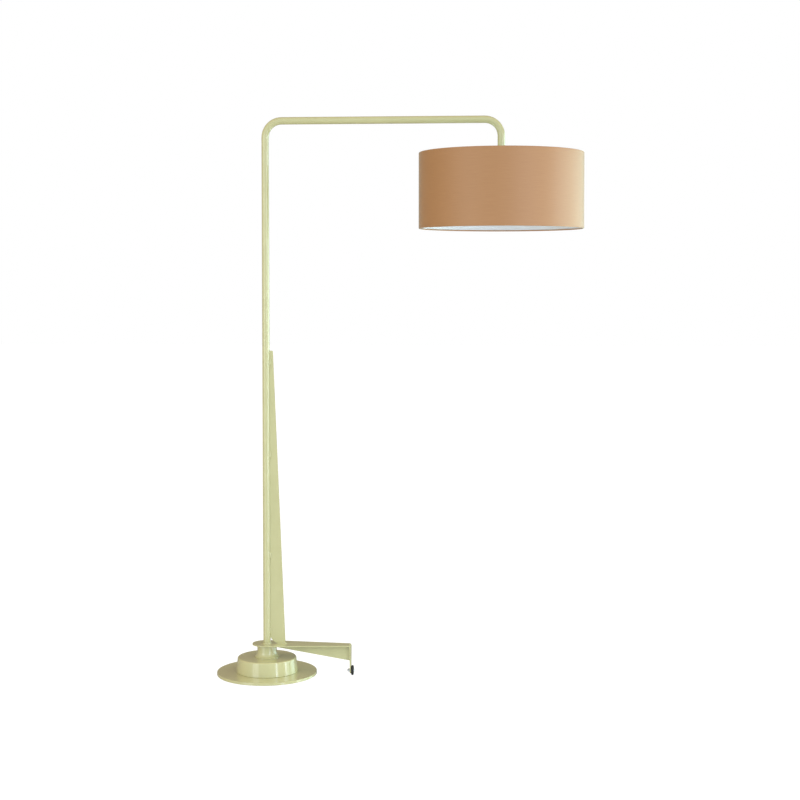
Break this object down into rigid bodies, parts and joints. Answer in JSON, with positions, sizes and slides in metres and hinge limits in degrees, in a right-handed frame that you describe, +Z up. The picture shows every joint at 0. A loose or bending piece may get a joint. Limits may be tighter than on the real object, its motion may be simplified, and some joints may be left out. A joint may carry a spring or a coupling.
{
  "type": "floor lamp",
  "caption": "Crane-shaped floor lamp: bent tube mast with stiffener fin on a wheeled outrigger, swivelling on a round weighted base, with a fabric drum shade.",
  "frame": {"origin": "on the floor under the swivel's vertical axis, the centre of the round base", "axes": "+Z up along the mast, +X along the arm towards the shade, +Y to the side that the cord enters from"},
  "size_m": [1.3499, 0.6, 2.06],
  "materials": {
    "powder_coat": "gloss powder coat",
    "shade_fabric": "satin weave cotton",
    "shade_film": "white translucent film",
    "white_wire": "white coated wire",
    "tyre_rubber": "matt",
    "wheel_nylon": "moulded",
    "zinc_steel": "bright zinc",
    "turned_steel": "turned",
    "cast_iron": "as cast",
    "bronze": "sintered",
    "acetal": "machined",
    "felt": "pressed felt",
    "grommet_rubber": "moulded",
    "terminal_plastic": "moulded",
    "brass": "machined",
    "lead_sheath": "extruded",
    "holder_plastic": "moulded",
    "holder_ceramic": "glazed",
    "bulb_plastic": "moulded",
    "bulb_nickel": "nickel plated",
    "opal_glass": "opal"
  },
  "bodies": {
    "base": {"floor_pad": "felt", "base_disc": "powder_coat", "access_plate": "zinc_steel", "plate_screws": "zinc_steel", "base_screws": "zinc_steel", "base_weight": "cast_iron", "drum_cover": "powder_coat", "pivot_collar": "powder_coat", "upper_bush": "bronze", "lower_bush": "bronze", "thrust_washer": "acetal", "stop_screw": "zinc_steel", "cord_grommet": "grommet_rubber", "terminal_block": "terminal_plastic", "terminal_screws": "brass", "base_lead": "lead_sheath"},
    "mast": {"mast_tube": "powder_coat", "mast_fin": "powder_coat", "fin_welds": "powder_coat", "foot_weld": "powder_coat", "fin_foot_weld": "powder_coat", "outrigger_plate": "powder_coat", "outrigger_web": "powder_coat", "web_welds": "powder_coat", "shade_cover": "shade_fabric", "shade_top_hem": "shade_fabric", "shade_bottom_hem": "shade_fabric", "shade_lining": "shade_film", "shade_carrier": "white_wire", "shade_bottom_ring": "white_wire", "stop_dowel": "zinc_steel", "spindle_washer": "zinc_steel", "spindle_nut": "zinc_steel", "axle_bolt": "zinc_steel", "axle_nut": "zinc_steel", "axle_washers": "zinc_steel", "axle_sleeve": "zinc_steel", "tube_plug": "zinc_steel", "holder_nipple": "zinc_steel", "pivot_spindle": "turned_steel", "holder_contacts": "brass", "mast_lead": "lead_sheath", "holder_cap": "holder_plastic", "holder_sleeve": "holder_plastic", "shade_ring_nut": "holder_plastic", "holder_core": "holder_ceramic", "bulb_collar": "bulb_plastic", "bulb_cap": "bulb_nickel", "bulb_glass": "opal_glass"},
    "wheel": {"wheel_tyre": "tyre_rubber", "wheel_hub": "wheel_nylon"}
  },
  "joints": [
    {"name": "mast_swivel", "type": "hinge", "parent": "base", "child": "mast", "pos_m": [0, 0, 0.079], "axis": [0, 0, 1], "range_deg": [-164, 164]},
    {"name": "wheel_roll", "type": "hinge", "parent": "mast", "child": "wheel", "pos_m": [0.31975, 0, 0.0185], "axis": [1, 0, 0], "continuous": true}
  ],
  "couplings": [
    {"joint": "wheel_roll", "follows": "mast_swivel", "ratio": -17.284}
  ]
}
